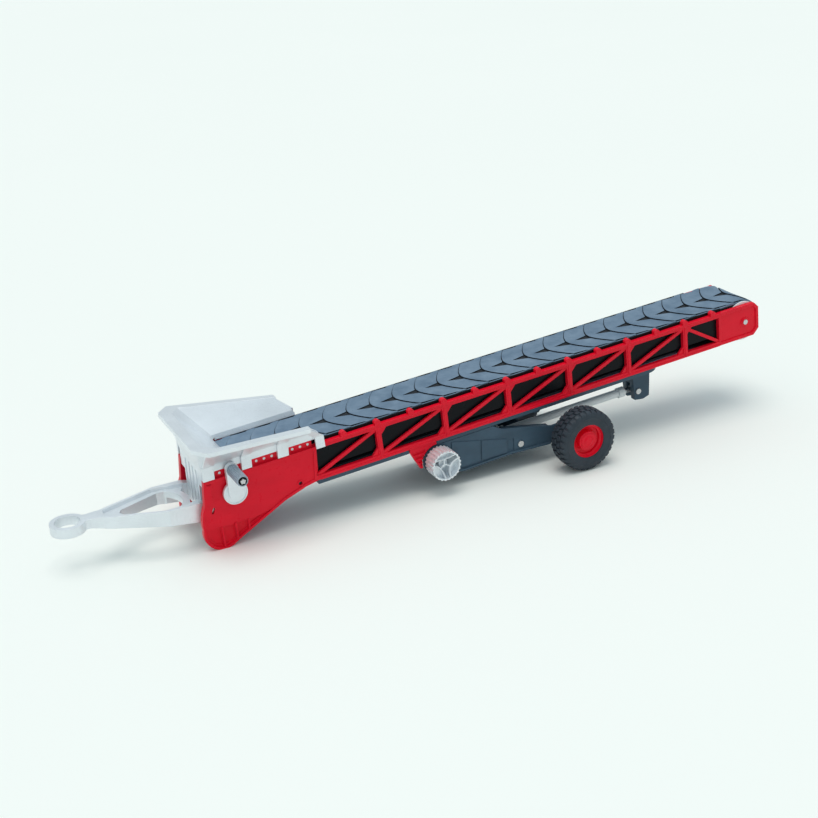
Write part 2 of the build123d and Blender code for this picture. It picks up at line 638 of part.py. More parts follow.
# ---------------------------------------------------------------- drawbar
with BuildPart() as drawbar:
    with BuildSketch(Plane(origin=(POST0_X, 0, 0))):
        outer = [(-164.0, 5.4), (-158.0, 5.0), (-150.0, 6.4), (-144.0, 9.0), (-106.0, 22.4), (-72.0, 22.4)]
        Polygon(*outer, *[(x, -y) for x, y in reversed(outer)], align=None)
        with Locations((HITCH_X, 0)):
            Circle(12.5)
        with BuildLine():
            Polyline((-99.0, -16.4), (-104.6, -16.4), (-134.0, -4.0), (-136.0, 0.0), (-134.0, 4.0),
                     (-104.6, 16.4), (-99.0, 16.4))
            ThreePointArc((-99.0, 16.4), (-90.4, 0.0), (-99.0, -16.4))
        make_face(mode=Mode.SUBTRACT)
        # behind the web the arms run on alone to the hinge
        Polygon((-84.6, 0), (-87.5, 11.5), (-84.6, 16.4), (-60, 16.4), (-60, -16.4), (-84.6, -16.4),
                (-87.5, -11.5), align=None, mode=Mode.SUBTRACT)
        with Locations((HITCH_X, 0)):
            Circle(HITCH_R, mode=Mode.SUBTRACT)
    extrude(amount=45.0)
    with BuildSketch(SIDE.offset(40)):
        with BuildLine():
            Polyline((HINGE[0], HINGE[1] + 3.4), (-84.0, 36.4), (-103.0, 36.2), (-147.0, 36.0), (-152.0, 36.5),
                     (-190.0, 36.5), (-190.0, 29.5), (-158.0, 29.5), (-147.0, 27.4), (-103.0, 24.0),
                     (-86.0, 22.0), (HINGE[0], HINGE[1] - 3.4))
            ThreePointArc((HINGE[0], HINGE[1] - 3.4), (HINGE[0] + 3.4, HINGE[1]), (HINGE[0], HINGE[1] + 3.4))
        make_face()
    extrude(amount=-80, mode=Mode.INTERSECT)
    # the web lies sunk between side rails that widen towards the hinge
    with BuildSketch(Plane.XY.offset(WEB_TOP).move(Location((POST0_X, 0, 0)))):
        rail = [(-147.0, 5.0), (-108.0, 19.4), (-99.0, 19.0), (-89.0, 17.2), (-84.0, 16.0)]
        Polygon(*rail, *[(x, -y) for x, y in reversed(rail)], align=None)
    extrude(amount=10.0, mode=Mode.SUBTRACT)
    # and between the arms it is thinner than they are
    with BuildSketch(SIDE.offset(16.4)):
        Polygon((-97.5, 15.0), (-80.0, 15.0), (-80.0, 27.5), (-97.5, 28.5), align=None)
    extrude(amount=-32.8, mode=Mode.SUBTRACT)
    with BuildSketch(SIDE.offset(30)):
        with Locations(HINGE):
            Circle(HINGE_R)
    extrude(amount=-60, mode=Mode.SUBTRACT)
save("drawbar", drawbar)

with BuildPart() as drawbar_pins:
    with BuildSketch(SIDE.offset(26.8)):
        with Locations(HINGE):
            Circle(HINGE_R)
    extrude(amount=-10.4)
    mirror(about=Plane.XZ)
save("drawbar_pins", drawbar_pins)


# ---------------------------------------------------------------- undercarriage brackets on the frame
PIVOT_U = PIVOT[0] * SLOPE[0] + (PIVOT[1] - POST0_Z) * SLOPE[1]
PIVOT_V = (PIVOT[1] - POST0_Z) * SLOPE[0] - PIVOT[0] * SLOPE[1]
with BuildPart() as pivot_bracket:
    # outer fin that plugs up beside the tray
    with BuildSketch(CONV.offset(OUTER_Y)):
        with BuildLine():
            Polyline((PIVOT_U + 0.3, PIVOT_V + 13.0), (99.9, TRAY_V), (99.9, -14.1), (77.5, -14.1), (77.5, -17.0),
                     (84.6, -32.6), (86.6, -32.4))
            ThreePointArc((86.6, -32.4), (PIVOT_U - 9.3, PIVOT_V + 9.3), (PIVOT_U + 0.3, PIVOT_V + 13.0))
        make_face()
    extrude(amount=25.0 - OUTER_Y)
    # sunk bands between its level ribs
    with BuildSketch(CONV.offset(OUTER_Y)):
        for top_v, left, right in ((-18.0, 79.2, 90.6), (-21.7, 80.9, 88.8), (-25.4, 82.6, 87.4), (-29.1, 84.3, 86.4)):
            Polygon((left, top_v), (right, top_v), (right - 0.9, top_v - 2.6), (left + 1.2, top_v - 2.6),
                    align=None)
    extrude(amount=-1.2, mode=Mode.SUBTRACT)
    # inner ear that carries the pivot
    with BuildSketch(CONV.offset(25.5)):
        with Locations((PIVOT_U, PIVOT_V)):
            Circle(7.0)
        Polygon((PIVOT_U - 9.0, TRAY_V), (PIVOT_U + 9.0, TRAY_V), (PIVOT_U + 6.8, PIVOT_V - 1.5),
                (PIVOT_U - 6.8, PIVOT_V - 1.5), align=None)
    extrude(amount=23.5 - 25.5)
    with BuildSketch(CONV.offset(30)):
        with Locations((PIVOT_U, PIVOT_V)):
            Circle(2.5 + FIT)
    extrude(amount=-10, mode=Mode.SUBTRACT)
save_pair("pivot_bracket", pivot_bracket)


def involute(r, base):
    """Involute angle at radius r, in radians."""
    slope = sqrt(max(r * r / base / base - 1, 0))
    return slope - atan(slope)


def gear_points(teeth, turn):
    """Outline of a spur gear with thin involute teeth, one tooth centred at the angle turn."""
    pitch = GEAR_M * teeth / 2
    base = pitch * cos(radians(25))
    tip = pitch + 0.8 * GEAR_M
    root = pitch - 1.05 * GEAR_M
    half = 0.38 * pi / teeth + involute(pitch, base)
    start = max(root, base)
    flank = [(start + (tip - start) * i / 4, involute(start + (tip - start) * i / 4, base)) for i in range(5)]
    if root < base:
        flank = [(root, 0.0)] + flank
    points = []
    for i in range(teeth):
        middle = radians(turn) + 2 * pi * i / teeth
        points += [(r * cos(middle - half + a), r * sin(middle - half + a)) for r, a in flank]
        points += [(r * cos(middle + half - a), r * sin(middle + half - a)) for r, a in reversed(flank)]
    return points


MESH = -5.0               # direction from the pivot to the countershaft
CENTRES = GEAR_M * (WHEEL_TEETH + PINION_TEETH) / 2
COUNTER = (PIVOT[0] + CENTRES * cos(radians(MESH)), PIVOT[1] + CENTRES * sin(radians(MESH)))

with BuildPart() as pivot_gear:
    with BuildSketch(SIDE.offset(23.5)):
        with Locations(PIVOT):
            Polygon(*gear_points(WHEEL_TEETH, MESH), align=None)
            Circle(2.5 + FIT, mode=Mode.SUBTRACT)
    extrude(amount=-3.7)
save("pivot_gear", pivot_gear)

with BuildPart() as reduction_gear:
    with BuildSketch(SIDE.offset(19.3)):
        with Locations(COUNTER):
            Polygon(*gear_points(WHEEL_TEETH, MESH + 180 + 180 / WHEEL_TEETH), align=None)
    extrude(amount=-3.5)
    with BuildSketch(SIDE.offset(23.2)):
        with Locations(COUNTER):
            Polygon(*gear_points(PINION_TEETH, MESH + 180 + 180 / PINION_TEETH), align=None)
    extrude(amount=-3.9)
    with BuildSketch(SIDE.offset(24)):
        with Locations(COUNTER):
            Circle(1.2 + FIT)
    extrude(amount=-12, mode=Mode.SUBTRACT)
save("reduction_gear", reduction_gear)

with BuildPart() as knob_shaft:
    with BuildSketch(SIDE.offset(35.0)):
        with Locations(PIVOT):
            Circle(2.5)
    extrude(amount=19.4 - 35.0)
    with BuildSketch(SIDE.offset(19.4)):
        with Locations(PIVOT):
            Polygon(*gear_points(PINION_TEETH, MESH), align=None)
    extrude(amount=-3.8)
save("knob_shaft", knob_shaft)

KNOB_FRONT = 42.5
KNOB_BACK = 30.0
KNOB_RECESS_R = 10.6


def about_pivot(r, angle):
    """Point at radius r and an angle in degrees about the undercarriage pivot."""
    return (PIVOT[0] + r * cos(radians(angle)), PIVOT[1] + r * sin(radians(angle)))


with BuildPart() as knob:
    with BuildSketch(SIDE.offset(KNOB_FRONT)):
        with Locations(PIVOT):
            Circle(KNOB_R)
            with PolarLocations(KNOB_R + 0.5, 24):
                Circle(1.2, mode=Mode.SUBTRACT)
    extrude(amount=KNOB_BACK - KNOB_FRONT)
    # the front is hollow round a boss for the shaft
    with BuildSketch(SIDE.offset(KNOB_FRONT)):
        with Locations(PIVOT):
            Circle(KNOB_RECESS_R)
    extrude(amount=33.0 - KNOB_FRONT, mode=Mode.SUBTRACT)
    with BuildSketch(SIDE.offset(36.2)):
        with Locations(PIVOT):
            Circle(3.7)
    extrude(amount=-3.4)
    # three bowed ribs with a shallow floor outside each, and three spokes between them
    for middle in (-24.0, 96.0, 216.0):
        ends = (about_pivot(KNOB_RECESS_R + 0.3, middle - 48), about_pivot(KNOB_RECESS_R + 0.3, middle + 48))
        with BuildSketch(SIDE.offset(KNOB_FRONT)):
            with BuildLine():
                ThreePointArc(ends[0], about_pivot(4.7, middle), ends[1])
            trace(line_width=1.0)
            Polygon(*strip(about_pivot(0, middle), about_pivot(4.8, middle), 1.0), align=None)
        extrude(amount=32.8 - KNOB_FRONT)
        with BuildSketch(SIDE.offset(37.5)):
            with BuildLine():
                ThreePointArc(ends[0], about_pivot(4.7, middle), ends[1])
                ThreePointArc(ends[1], about_pivot(KNOB_RECESS_R + 0.3, middle), ends[0])
            make_face()
        extrude(amount=32.8 - 37.5)
    # the ribs dip towards the middle
    with BuildSketch(SIDE.offset(KNOB_FRONT)):
        with Locations(PIVOT):
            Circle(KNOB_RECESS_R)
    extrude(amount=-4.0, taper=65, mode=Mode.SUBTRACT)
    with BuildSketch(SIDE.offset(35.0)):
        with Locations(PIVOT):
            Circle(2.5)
    extrude(amount=KNOB_BACK - 35.0, mode=Mode.SUBTRACT)
save("knob", knob)


# ---------------------------------------------------------------- undercarriage
CHASSIS_R = 11.9          # round end about the pivot


def chassis_side():
    """Outline of the undercarriage wall as seen from the side."""
    tray_gap = CHASSIS_R
    start = (PIVOT[0] - tray_gap * SLOPE[1], PIVOT[1] + tray_gap * SLOPE[0])
    run = 49.0
    with BuildLine(mode=Mode.PRIVATE) as line:
        Polyline(start, (start[0] + run * SLOPE[0], start[1] + run * SLOPE[1]), (157.5, 37.6), (177.5, 34.4),
                 (203.2, 29.4), (AXLE[0] + 1.2, AXLE[1] + 6.2))
        ThreePointArc((AXLE[0] + 1.2, AXLE[1] + 6.2), (AXLE[0] + 6.3, AXLE[1]), (AXLE[0] + 1.2, AXLE[1] - 6.2))
        Polyline((AXLE[0] + 1.2, AXLE[1] - 6.2), (200.6, 14.7), (164.0, 14.9), (124.0, 11.0), (112.0, 12.4),
                 (PIVOT[0] + 1.0, PIVOT[1] - 11.86))
        ThreePointArc((PIVOT[0] + 1.0, PIVOT[1] - 11.86), (PIVOT[0] - CHASSIS_R, PIVOT[1]), start)
    return line.line


def chassis_wall():
    """Near undercarriage wall with its border, cover panel, boss and inner lip."""
    with BuildPart() as part:
        with BuildSketch(SIDE.offset(WALL_Y)):
            make_face(chassis_side())
        extrude(amount=-2.0)
        # inner lip along top and bottom, clear of the gears
        with BuildSketch(SIDE.offset(WALL_Y - 2.0)):
            Polygon(*strip((131.0, 39.4), (151.5, 41.0), 1.6), align=None)
            Polygon(*strip((158.5, 36.5), (200.0, 29.2), 1.6), align=None)
        extrude(amount=-4.0)
        # axle boss and outer beam out to the wheel
        with BuildSketch(SIDE.offset(41.0)):
            with Locations(AXLE):
                Circle(4.6)
        extrude(amount=20.0 - 41.0)
        # two raised panels with a gap between them, and a sunk one behind
        with BuildSketch(SIDE.offset(WALL_Y)):
            Polygon((112.5, 15.6), (124.0, 14.8), (138.0, 16.0), (138.0, 32.8), (113.8, 37.1), align=None)
            Polygon((139.3, 16.1), (161.4, 17.0), (161.4, 28.4), (139.3, 32.5), align=None)
        extrude(amount=0.7)
        with BuildSketch(SIDE.offset(WALL_Y)):
            Polygon((162.6, 17.0), (168.2, 16.9), (168.2, 27.0), (162.6, 28.0), align=None)
        extrude(amount=-0.8, mode=Mode.SUBTRACT)
        # ledge along the bottom edge
        with BuildSketch(SIDE.offset(WALL_Y)):
            Polygon(*strip((112.5, 13.3), (124.0, 12.1), 1.6), align=None)
            Polygon(*strip((123.6, 12.0), (164.2, 15.8), 1.6), align=None)
            Polygon(*strip((163.8, 15.8), (200.4, 15.7), 1.6), align=None)
        extrude(amount=1.3)
        with BuildSketch(SIDE.offset(45)):
            with Locations(AXLE):
                Circle(2.0)
            with Locations(STRUT_A):
                Circle(STRUT_PIN_R)
        extrude(amount=-30, mode=Mode.SUBTRACT)
    return part


with BuildPart() as chassis_near:
    add(chassis_wall().part)
    # boss for the countershaft and the running hole for the knob shaft
    with BuildSketch(SIDE.offset(26.2)):
        with Locations(COUNTER):
            Circle(2.6)
    extrude(amount=-2.6)
    with BuildSketch(SIDE.offset(27.0)):
        with Locations(COUNTER):
            Circle(1.2)
    extrude(amount=-5, mode=Mode.SUBTRACT)
    with BuildSketch(SIDE.offset(30)):
        with Locations(PIVOT):
            Circle(2.5 + FIT)
    extrude(amount=-10, mode=Mode.SUBTRACT)
save("chassis_near", chassis_near)

with BuildPart() as chassis_far:
    mirror(chassis_wall().part, about=Plane.XZ)
    with BuildSketch(SIDE.offset(-30)):
        with Locations(PIVOT):
            Circle(2.5)
    extrude(amount=10, mode=Mode.SUBTRACT)
save("chassis_far", chassis_far)

with BuildPart() as chassis_floor:
    with BuildSketch(SIDE.offset(26.0)):
        Polygon((127.0, 11.5), (164.0, 15.1), (200.6, 14.9), (200.6, 16.5), (163.8, 16.7), (127.0, 13.1),
                align=None)
        Polygon((134.0, 33.0), (139.0, 33.4), (139.0, 38.4), (134.0, 38.0), align=None)
        Polygon((130.0, 12.0), (133.0, 12.0), (133.0, 24.0), (130.0, 24.0), align=None)
    extrude(amount=-52.0)
save("chassis_floor", chassis_floor)

with BuildPart() as countershaft:
    with BuildSketch(SIDE.offset(27.0)):
        with Locations(COUNTER):
            Circle(1.2)
    extrude(amount=-12.0)
    with BuildSketch(SIDE.offset(15.6)):
        with Locations(COUNTER):
            Circle(1.9)
    extrude(amount=-0.8)
save("countershaft", countershaft)

with BuildPart() as pivot_pin:
    with BuildSketch(SIDE.offset(-28.0)):
        with Locations(PIVOT):
            Circle(2.5)
    extrude(amount=6.0)
    with BuildSketch(SIDE.offset(-29.0)):
        with Locations(PIVOT):
            Circle(4.0)
    extrude(amount=1.0)
save("pivot_pin", pivot_pin)

with BuildPart() as axle_stubs:
    with BuildSketch(SIDE.offset(55.6)):
        with Locations(AXLE):
            Circle(2.0)
    extrude(amount=20.0 - 55.6)
    with BuildSketch(SIDE.offset(55.6)):
        with Locations(AXLE):
            Circle(3.2)
    extrude(amount=1.0)
    mirror(about=Plane.XZ)
save("axle_stubs", axle_stubs)


# ---------------------------------------------------------------- wheels
AXLE_LINE = Plane(origin=(POST0_X + AXLE[0], 0, AXLE[1]), x_dir=(1, 0, 0), z_dir=(0, 0, 1))
AXLE_AXIS = Axis((POST0_X + AXLE[0], 0, AXLE[1]), (0, 1, 0))
LUG_ROWS = 18

with BuildPart() as wheel_rim:
    # the section lies in the level plane through the axle: local x is the radius
    with BuildSketch(AXLE_LINE):
        with BuildLine():
            Polyline((2.0 + FIT, -41.6), (5.2, -41.6), (5.2, -50.0), (RIM_R - 1.4, -50.0), (RIM_R - 1.4, -42.6),
                     (RIM_R, -42.6), (RIM_R, -59.2), (13.2, -59.2), (12.8, -57.2), (11.4, -56.6), (11.0, -54.8),
                     (8.2, -54.0), (7.6, -58.4), (6.2, -58.4), (6.2, -55.2), (2.0 + FIT, -55.2), close=True)
        make_face()
    revolve(axis=AXLE_AXIS)
save_pair("wheel_rim", wheel_rim)

with BuildPart() as hub_cap:
    with BuildSketch(AXLE_LINE):
        with BuildLine():
            Polyline((0, -60.0), (3.0, -60.0), (4.2, -59.0), (6.2, -58.8), (6.2, -56.9), (0, -56.9), close=True)
        make_face()
    revolve(axis=AXLE_AXIS)
save_pair("hub_cap", hub_cap)

with BuildPart() as tyre:
    with BuildSketch(AXLE_LINE):
        with BuildLine():
            Polyline((RIM_R, -43.0), (RIM_R + 1.2, -42.0), (20.5, -WHEEL_IN), (23.4, -43.4), (TYRE_R - 1.5, -46.0),
                     (TYRE_R - 1.5, -56.6), (23.4, -59.2), (20.5, -WHEEL_OUT), (RIM_R + 1.2, -60.4),
                     (RIM_R, -59.2), close=True)
        make_face()
    revolve(axis=AXLE_AXIS)
    # slanted lugs in two staggered rows
    for row, start, stop in ((0, 60.3, 50.6), (1, 51.9, 42.2)):
        with BuildSketch(SIDE.offset(start)):
            with Locations(AXLE):
                with PolarLocations(TYRE_R - 2.4, LUG_ROWS, start_angle=10.0 * row):
                    Rectangle(4.8, 3.7)
                Circle(TYRE_R, mode=Mode.INTERSECT)
        extrude(amount=stop - start)
save_pair("tyre", tyre)


# ---------------------------------------------------------------- lifting strut
STRUT_L = sqrt((STRUT_B[0] - STRUT_A[0]) ** 2 + (STRUT_B[1] - STRUT_A[1]) ** 2)
STRUT_DIR = ((STRUT_B[0] - STRUT_A[0]) / STRUT_L, (STRUT_B[1] - STRUT_A[1]) / STRUT_L)
STRUT_PLANE = Plane(origin=(POST0_X + STRUT_A[0], 0, STRUT_A[1]), x_dir=(0, 1, 0),
                    z_dir=(STRUT_DIR[0], 0, STRUT_DIR[1]))
BARREL_END = 112.0
BORE_R = 2.75
ROD_R = 2.15

with BuildPart() as strut_barrel:
    with BuildSketch(STRUT_PLANE.offset(1.0)):
        Circle(3.4)
    extrude(amount=BARREL_END - 1.0)
    with BuildSketch(SIDE.offset(3.0)):
        with Locations(STRUT_A):
            Circle(3.9)
    extrude(amount=-6.0)
    with BuildSketch(STRUT_PLANE.offset(8.0)):
        Circle(BORE_R)
    extrude(amount=BARREL_END - 8.0, mode=Mode.SUBTRACT)
    with BuildSketch(SIDE.offset(6.0)):
        with Locations(STRUT_A):
            Circle(STRUT_PIN_R + FIT)
    extrude(amount=-12.0, mode=Mode.SUBTRACT)
save("strut_barrel", strut_barrel)

with BuildPart() as strut_gland:
    with BuildSketch(STRUT_PLANE.offset(109.0)):
        Circle(4.3)
        Circle(3.4, mode=Mode.SUBTRACT)
    extrude(amount=3.0)
    with BuildSketch(STRUT_PLANE.offset(BARREL_END)):
        Circle(4.3)
        Circle(BORE_R, mode=Mode.SUBTRACT)
    extrude(amount=2.6)
save("strut_gland", strut_gland)

with BuildPart() as strut_rod:
    with BuildSketch(STRUT_PLANE.offset(60.0)):
        Circle(ROD_R)
    extrude(amount=STRUT_L - 60.0)
    with BuildSketch(SIDE.offset(2.4)):
        with Locations(STRUT_B):
            Circle(3.6)
    extrude(amount=-4.8)
    with BuildSketch(SIDE.offset(6.0)):
        with Locations(STRUT_B):
            Circle(STRUT_PIN_R + FIT)
    extrude(amount=-12.0, mode=Mode.SUBTRACT)
save("strut_rod", strut_rod)

with BuildPart() as strut_lower_pin:
    with BuildSketch(SIDE.offset(WALL_Y)):
        with Locations(STRUT_A):
            Circle(STRUT_PIN_R)
    extrude(amount=-2 * WALL_Y)
    for start, run in ((WALL_Y, 0.9), (-WALL_Y, -0.9)):
        with BuildSketch(SIDE.offset(start)):
            with Locations(STRUT_A):
                Circle(2.5)
        extrude(amount=run)
save("strut_lower_pin", strut_lower_pin)

with BuildPart() as strut_block:
    with BuildSketch(CONV.offset(8.0)):
        Polygon((287.0, TRAY_V), (315.0, TRAY_V), (315.0, -20.0), (308.0, -23.0), (306.0, -47.6), (300.0, -49.3),
                (292.0, -48.0), (291.0, -24.0), (287.0, -20.0), align=None)
    extrude(amount=-16.0)
    # fork slot for the rod eye
    with BuildSketch(CONV.offset(2.6)):
        Polygon((280.0, -50.5), (301.5, -50.5), (301.5, -34.0), (280.0, -34.0), align=None)
    extrude(amount=-5.2, mode=Mode.SUBTRACT)
    with BuildSketch(SIDE.offset(10)):
        with Locations(STRUT_B):
            Circle(STRUT_PIN_R)
    extrude(amount=-20, mode=Mode.SUBTRACT)
save("strut_block", strut_block)

with BuildPart() as strut_upper_pin:
    with BuildSketch(SIDE.offset(8.0)):
        with Locations(STRUT_B):
            Circle(STRUT_PIN_R)
    extrude(amount=-16.0)
    for start, run in ((8.0, 0.8), (-8.0, -0.8)):
        with BuildSketch(SIDE.offset(start)):
            with Locations(STRUT_B):
                Circle(2.4)
        extrude(amount=run)
save("strut_upper_pin", strut_upper_pin)
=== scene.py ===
import json
from bisect import bisect_right
from math import cos, pi, radians, sin

import bmesh
import bpy
from mathutils import Matrix, Vector


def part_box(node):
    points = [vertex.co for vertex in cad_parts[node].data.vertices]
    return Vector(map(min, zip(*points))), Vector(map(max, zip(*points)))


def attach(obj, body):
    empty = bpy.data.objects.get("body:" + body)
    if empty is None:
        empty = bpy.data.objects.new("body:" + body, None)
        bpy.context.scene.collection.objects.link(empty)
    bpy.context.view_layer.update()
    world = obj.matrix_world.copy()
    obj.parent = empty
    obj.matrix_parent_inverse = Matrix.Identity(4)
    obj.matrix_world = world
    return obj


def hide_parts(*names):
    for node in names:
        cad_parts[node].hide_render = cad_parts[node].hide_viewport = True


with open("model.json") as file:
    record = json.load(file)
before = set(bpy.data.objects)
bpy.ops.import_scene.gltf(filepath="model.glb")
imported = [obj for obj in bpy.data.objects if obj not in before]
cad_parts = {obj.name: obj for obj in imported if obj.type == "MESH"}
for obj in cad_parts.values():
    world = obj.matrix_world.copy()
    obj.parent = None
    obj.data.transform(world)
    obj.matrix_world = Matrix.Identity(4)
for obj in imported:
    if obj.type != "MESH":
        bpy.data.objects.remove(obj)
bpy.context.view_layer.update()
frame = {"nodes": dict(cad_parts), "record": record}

# Looks of the towable belt conveyor. Metres, in the frame of the CAD model.
MM = 0.001

# ---------------------------------------------------------------- places read from the frame


def centre(node):
    """Middle of a CAD node's box."""
    low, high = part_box(node)
    return (Vector(low) + Vector(high)) / 2


TAIL = centre("tail_drum")
HEAD = centre("head_roller")
ALONG = (HEAD - TAIL).normalized()
ABOVE = Vector((-ALONG.z, 0, ALONG.x))
RUN = (HEAD - TAIL).length


# ---------------------------------------------------------------- node materials
class Nodes:
    """Small helper that builds one node material."""

    def __init__(self, name):
        self.material = bpy.data.materials.new(name)
        self.material.use_nodes = True
        self.tree = self.material.node_tree
        self.shader = self.tree.nodes["Principled BSDF"]
        self.place = self.add("ShaderNodeTexCoord").outputs["Object"]

    def add(self, kind, **settings):
        """A new node with its properties or input values set."""
        node = self.tree.nodes.new(kind)
        for key, value in settings.items():
            if key in node.inputs:
                node.inputs[key].default_value = value
            else:
                setattr(node, key, value)
        return node

    def link(self, output, socket):
        """Joins an output to an input socket."""
        self.tree.links.new(output, socket)

    def feed(self, name, output):
        """Joins an output to the shader's input of that name."""
        self.link(output, self.shader.inputs[name])

    def fix(self, name, value):
        """Sets the shader's input of that name."""
        self.shader.inputs[name].default_value = value

    def noise(self, scale, detail, rough, stretch=None):
        """Noise over the object's own coordinates, with features of about 1/scale metres."""
        node = self.add("ShaderNodeTexNoise", Scale=scale, Detail=detail, Roughness=rough)
        source = self.place
        if stretch:
            mapping = self.add("ShaderNodeMapping", Scale=stretch)
            self.link(source, mapping.inputs["Vector"])
            source = mapping.outputs["Vector"]
        self.link(source, node.inputs["Vector"])
        return node.outputs["Fac"]

    def spread(self, value, low, high, start=0.3, stop=0.7):
        """Maps a value from start..stop to low..high."""
        node = self.add("ShaderNodeMapRange")
        for key, number in (("From Min", start), ("From Max", stop), ("To Min", low), ("To Max", high)):
            node.inputs[key].default_value = number
        self.link(value, node.inputs["Value"])
        return node.outputs["Result"]

    def mix(self, share, first, second):
        """Blends two colours, each a tuple or an output, by a 0..1 value."""
        node = self.add("ShaderNodeMix", data_type="RGBA")
        colour_in = [s for s in node.inputs if s.type == "RGBA"]
        colour_out = [s for s in node.outputs if s.type == "RGBA"][0]
        for socket, colour in zip(colour_in, (first, second)):
            if isinstance(colour, tuple):
                socket.default_value = (*colour, 1.0)
            else:
                self.link(colour, socket)
        self.link(share, node.inputs["Factor"])
        return colour_out

    def scaled(self, value, share):
        """A value times a fixed share."""
        node = self.add("ShaderNodeMath", operation="MULTIPLY")
        self.link(value, node.inputs[0])
        node.inputs[1].default_value = share
        return node.outputs[0]

    def edges(self, radius):
        """(rounded normal, 0..1 mask of the edges) for edges rounded by radius metres."""
        bevel = self.add("ShaderNodeBevel", samples=6)
        bevel.inputs["Radius"].default_value = radius
        geometry = self.add("ShaderNodeNewGeometry")
        dot = self.add("ShaderNodeVectorMath", operation="DOT_PRODUCT")
        self.link(bevel.outputs["Normal"], dot.inputs[0])
        self.link(geometry.outputs["True Normal"], dot.inputs[1])
        mask = self.spread(dot.outputs["Value"], 1.0, 0.0, 0.75, 0.98)
        return bevel.outputs["Normal"], mask

    def bump(self, height, strength, distance, normal):
        """The given normal, tilted by a height value."""
        node = self.add("ShaderNodeBump", Strength=strength, Distance=distance)
        self.link(height, node.inputs["Height"])
        self.link(normal, node.inputs["Normal"])
        return node.outputs["Normal"]


def shaded(colour, share):
    """A colour made darker or paler by a share."""
    return tuple(min(1.0, c * share) for c in colour)


def moulded(name, colour, edge_highlight_colour, rough, shade, gloss=0.5, grain_depth=0.02):
    """Injection-moulded plastic: faint flow clouds, fine grain, rounded edges painted in a paler colour as
    a painted highlight.
    """
    look = Nodes(name)
    cloud = look.noise(55.0, 2.0, 0.5, (1.0, 1.6, 2.2))
    base = look.mix(look.spread(cloud, 0.0, 1.0), shaded(colour, 1 - shade), shaded(colour, 1 + shade))
    normal, mask = look.edges(0.3 * MM)
    # edges are mixed towards the paler colour: a painted highlight along the edges
    look.feed("Base Color", look.mix(look.scaled(mask, 0.6), base, edge_highlight_colour))
    look.feed("Roughness", look.spread(look.noise(320.0, 4.0, 0.65), rough * 0.85, rough * 1.2))
    look.feed("Normal", look.bump(look.noise(2600.0, 2.0, 0.5), 0.5, grain_depth * MM, normal))
    look.fix("Specular IOR Level", gloss)
    return look.material


def silver(name, colour, rough, metallic):
    """Plastic with fine metal flake: flakes glint by small changes of shade and roughness."""
    look = Nodes(name)
    flake = look.noise(5200.0, 1.0, 0.4)
    cloud = look.noise(40.0, 2.0, 0.5, (1.0, 1.5, 2.0))
    base = look.mix(look.spread(cloud, 0.0, 1.0), shaded(colour, 0.94), shaded(colour, 1.04))
    glint = look.scaled(look.spread(flake, 0.0, 1.0, 0.45, 0.75), 0.25)
    base = look.mix(glint, base, shaded(colour, 0.8))
    normal, mask = look.edges(0.35 * MM)
    # edges are mixed halfway to white: a painted highlight along the edges
    edge_highlight_tint = tuple(c + 0.5 * (1 - c) for c in colour)
    look.feed("Base Color", look.mix(look.scaled(mask, 0.7), base, edge_highlight_tint))
    look.feed("Roughness", look.spread(flake, rough * 0.8, rough * 1.2))
    look.feed("Normal", look.bump(flake, 0.4, 0.008 * MM, normal))
    look.fix("Metallic", metallic)
    return look.material


def rubber(name, colour, bloom_and_highlight, rough):
    """Matt rubber with a fine tooth, pale blooming at random, and the same pale colour painted along the
    edges as a highlight.
    """
    look = Nodes(name)
    base = look.mix(look.spread(look.noise(70.0, 4.0, 0.6), 0.0, 0.6), colour, bloom_and_highlight)
    normal, mask = look.edges(0.3 * MM)
    # the pale colour along the edges is a painted highlight; across the surface it is real blooming
    look.feed("Base Color", look.mix(look.scaled(mask, 0.35), base, bloom_and_highlight))
    look.feed("Roughness", look.spread(look.noise(400.0, 3.0, 0.6), rough - 0.08, rough + 0.1))
    look.feed("Normal", look.bump(look.noise(1700.0, 3.0, 0.6), 0.6, 0.04 * MM, normal))
    look.fix("Specular IOR Level", 0.4)
    return look.material


def steel(name, colour):
    """Turned steel: fine streaks in its shade and roughness."""
    look = Nodes(name)
    streak = look.noise(900.0, 3.0, 0.6, (1.0, 6.0, 1.0))
    normal = look.edges(0.2 * MM)[0]
    look.feed("Base Color", look.mix(look.spread(streak, 0.0, 1.0), shaded(colour, 0.86), colour))
    look.feed("Roughness", look.spread(streak, 0.2, 0.38))
    look.feed("Normal", look.bump(streak, 0.3, 0.01 * MM, normal))
    look.fix("Metallic", 1.0)
    return look.material


# body colours; the paler colour that follows red, white, slate and black is the painted highlight along
# their edges
RED = (0.80, 0.005, 0.024)
RED_EDGE_HIGHLIGHT = (0.95, 0.045, 0.110)
SILVER = (0.83, 0.875, 0.91)
WHITE = (0.83, 0.86, 0.87)
WHITE_EDGE_HIGHLIGHT = (0.90, 0.92, 0.92)
SLATE = (0.050, 0.090, 0.130)
SLATE_EDGE_HIGHLIGHT = (0.090, 0.140, 0.190)
BLACK = (0.003, 0.004, 0.006)
BLACK_EDGE_HIGHLIGHT = (0.020, 0.024, 0.030)
BELT_BLUE = (0.100, 0.165, 0.245)
# pale blooming of the belt rubber, also painted along its edges as a highlight
BELT_BLOOM_AND_HIGHLIGHT = (0.230, 0.320, 0.420)
# painted shade for the belt's grooves: the tiles' side walls and ends, and the band between them
GROOVE_PAINTED_SHADE = (0.010, 0.014, 0.020)
GROOVE_SHADE_BLOOM_AND_HIGHLIGHT = (0.016, 0.022, 0.030)
TYRE_GREY = (0.020, 0.030, 0.042)
# pale blooming of the tyre rubber, also painted along its edges as a highlight
TYRE_BLOOM_AND_HIGHLIGHT = (0.036, 0.052, 0.070)
